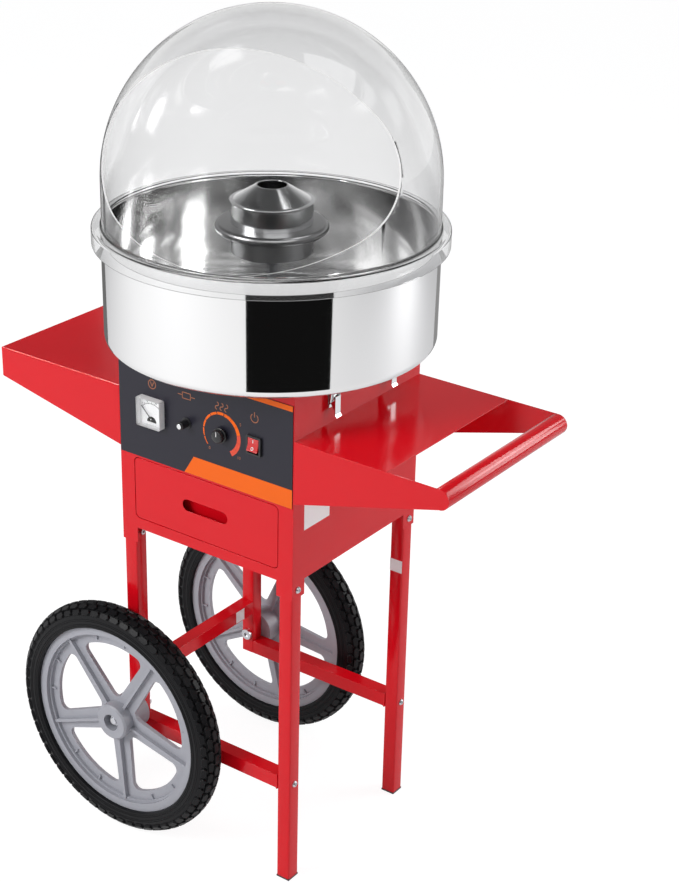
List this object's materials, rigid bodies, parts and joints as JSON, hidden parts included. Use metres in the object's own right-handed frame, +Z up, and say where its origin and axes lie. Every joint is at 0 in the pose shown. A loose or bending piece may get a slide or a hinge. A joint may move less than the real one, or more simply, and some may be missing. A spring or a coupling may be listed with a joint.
{
  "type": "cotton candy cart",
  "caption": "Cotton candy cart: spinning-head floss machine with a steel bowl and clear dome on a red cabinet with drawer, shelf, tray and push handle, on a tube frame with spoked wheels.",
  "frame": {"origin": "on the floor, under the middle of the overall box", "axes": "+Z up; -Y is the front with the drawer and controls; +X is the handle side, -X the wheel side"},
  "size_m": [0.873, 0.5498, 1.3892],
  "materials": {
    "red_paint": "glossy powder coat",
    "black_plastic": "matte black moulding",
    "zinc": "zinc plated",
    "wheel_grey": "light grey moulding",
    "tyre_black": "black rubber with block tread",
    "panel_grey": "printed dark grey with orange bands",
    "dial_white": "white dial",
    "needle_black": "black",
    "meter_clear": "clear moulding",
    "fuse_glass": "glass tube",
    "rocker_red": "red translucent rocker",
    "polished_steel": "polished stainless steel",
    "clear_acrylic": "clear acrylic",
    "cast_aluminium": "polished cast aluminium",
    "ribbon_alloy": "heat-tinted resistance alloy",
    "ring_brass": "turned brass",
    "carbon": "carbon",
    "motor_grey": "grey enamel",
    "mount_rubber": "black rubber"
  },
  "bodies": {
    "cart": {"front_left_leg": "red_paint", "back_left_leg": "red_paint", "front_right_leg": "red_paint", "back_right_leg": "red_paint", "front_side_bar": "red_paint", "back_side_bar": "red_paint", "left_cross_bar": "red_paint", "cabinet_front": "red_paint", "cabinet_left_side": "red_paint", "cabinet_right_side": "red_paint", "back_cover": "red_paint", "cabinet_top": "red_paint", "motor_deck": "red_paint", "left_shelf": "red_paint", "handle_tray": "red_paint", "push_handle": "red_paint", "leg_feet": "black_plastic", "mains_inlet": "black_plastic", "fuse_holder": "black_plastic", "switch_housing": "black_plastic", "brush_holder": "black_plastic", "frame_bolts": "zinc", "axle_bolts": "zinc", "tray_bolts": "zinc", "heat_control": "zinc", "drawer_runners": "zinc", "control_panel": "panel_grey", "meter_case": "dial_white", "meter_window": "meter_clear", "bowl": "polished_steel", "latch_bases": "polished_steel", "carbon_brushes": "carbon", "motor": "motor_grey", "motor_mounts": "mount_rubber"},
    "front_wheel_body": {"front_wheel": "wheel_grey", "front_tyre": "tyre_black"},
    "back_wheel_body": {"back_wheel": "wheel_grey", "back_tyre": "tyre_black"},
    "drawer": {"drawer_tray": "red_paint", "drawer_front": "red_paint"},
    "spinner": {"head_base": "cast_aluminium", "head_cover": "cast_aluminium", "heating_ribbon": "ribbon_alloy", "spinner_shaft": "polished_steel", "ring_sleeve": "black_plastic", "slip_rings": "ring_brass"},
    "dome_body": {"dome": "clear_acrylic"},
    "knob_body": {"heat_knob": "black_plastic"},
    "rocker_body": {"switch_rocker": "rocker_red"},
    "fuse_body": {"fuse_cap": "black_plastic", "glass_fuse": "fuse_glass"},
    "needle_body": {"meter_needle": "needle_black"},
    "lever_rf": {"latch_lever_rf": "polished_steel"},
    "bail_rf": {"latch_bail_rf": "polished_steel"},
    "lever_rb": {"latch_lever_rb": "polished_steel"},
    "bail_rb": {"latch_bail_rb": "polished_steel"},
    "lever_lf": {"latch_lever_lf": "polished_steel"},
    "bail_lf": {"latch_bail_lf": "polished_steel"},
    "lever_lb": {"latch_lever_lb": "polished_steel"},
    "bail_lb": {"latch_bail_lb": "polished_steel"}
  },
  "joints": [
    {"name": "front_wheel_roll", "type": "hinge", "parent": "cart", "child": "front_wheel_body", "pos_m": [-0.1655, -0.203, 0.21], "axis": [0, 1, 0], "continuous": true},
    {"name": "back_wheel_roll", "type": "hinge", "parent": "cart", "child": "back_wheel_body", "pos_m": [-0.1655, 0.203, 0.21], "axis": [0, 1, 0], "continuous": true},
    {"name": "drawer_pull", "type": "slide", "parent": "cart", "child": "drawer", "axis": [0, -1, 0], "range_m": [0, 0.23]},
    {"name": "head_spin", "type": "hinge", "parent": "cart", "child": "spinner", "pos_m": [-0.0075, 0, 1.015], "axis": [0, 0, 1], "continuous": true},
    {"name": "dome_lift", "type": "slide", "parent": "cart", "child": "dome_body", "axis": [0, 0, 1], "range_m": [0, 0.15]},
    {"name": "heat_turn", "type": "hinge", "parent": "cart", "child": "knob_body", "pos_m": [0.0285, -0.177, 0.774], "axis": [0, 1, 0], "range_deg": [0, 270]},
    {"name": "switch_rock", "type": "hinge", "parent": "cart", "child": "rocker_body", "pos_m": [0.0915, -0.1642, 0.774], "axis": [1, 0, 0], "range_deg": [0, 24]},
    {"name": "fuse_pull", "type": "slide", "parent": "cart", "child": "fuse_body", "axis": [0, -1, 0], "range_m": [0, 0.03]},
    {"name": "needle_swing", "type": "hinge", "parent": "cart", "child": "needle_body", "pos_m": [-0.1095, -0.172, 0.762], "axis": [0, 1, 0], "range_deg": [0, 90], "stiffness_Nm_per_rad": 0.0002},
    {"name": "latch_lift_rf", "type": "hinge", "parent": "cart", "child": "lever_rf", "pos_m": [0.1705, -0.075, 0.846], "axis": [0, -1, 0], "range_deg": [0, 90]},
    {"name": "bail_swing_rf", "type": "hinge", "parent": "lever_rf", "child": "bail_rf", "pos_m": [0.1705, -0.075, 0.838], "axis": [0, -1, 0], "range_deg": [-90, 0]},
    {"name": "latch_lift_rb", "type": "hinge", "parent": "cart", "child": "lever_rb", "pos_m": [0.1705, 0.075, 0.846], "axis": [0, -1, 0], "range_deg": [0, 90]},
    {"name": "bail_swing_rb", "type": "hinge", "parent": "lever_rb", "child": "bail_rb", "pos_m": [0.1705, 0.075, 0.838], "axis": [0, -1, 0], "range_deg": [-90, 0]},
    {"name": "latch_lift_lf", "type": "hinge", "parent": "cart", "child": "lever_lf", "pos_m": [-0.1855, -0.075, 0.846], "axis": [0, 1, 0], "range_deg": [0, 90]},
    {"name": "bail_swing_lf", "type": "hinge", "parent": "lever_lf", "child": "bail_lf", "pos_m": [-0.1855, -0.075, 0.838], "axis": [0, 1, 0], "range_deg": [-90, 0]},
    {"name": "latch_lift_lb", "type": "hinge", "parent": "cart", "child": "lever_lb", "pos_m": [-0.1855, 0.075, 0.846], "axis": [0, 1, 0], "range_deg": [0, 90]},
    {"name": "bail_swing_lb", "type": "hinge", "parent": "lever_lb", "child": "bail_lb", "pos_m": [-0.1855, 0.075, 0.838], "axis": [0, 1, 0], "range_deg": [-90, 0]}
  ],
  "couplings": [
    {"joint": "bail_swing_rf", "follows": "latch_lift_rf", "ratio": -1},
    {"joint": "bail_swing_rb", "follows": "latch_lift_rb", "ratio": -1},
    {"joint": "bail_swing_lf", "follows": "latch_lift_lf", "ratio": -1},
    {"joint": "bail_swing_lb", "follows": "latch_lift_lb", "ratio": -1}
  ]
}
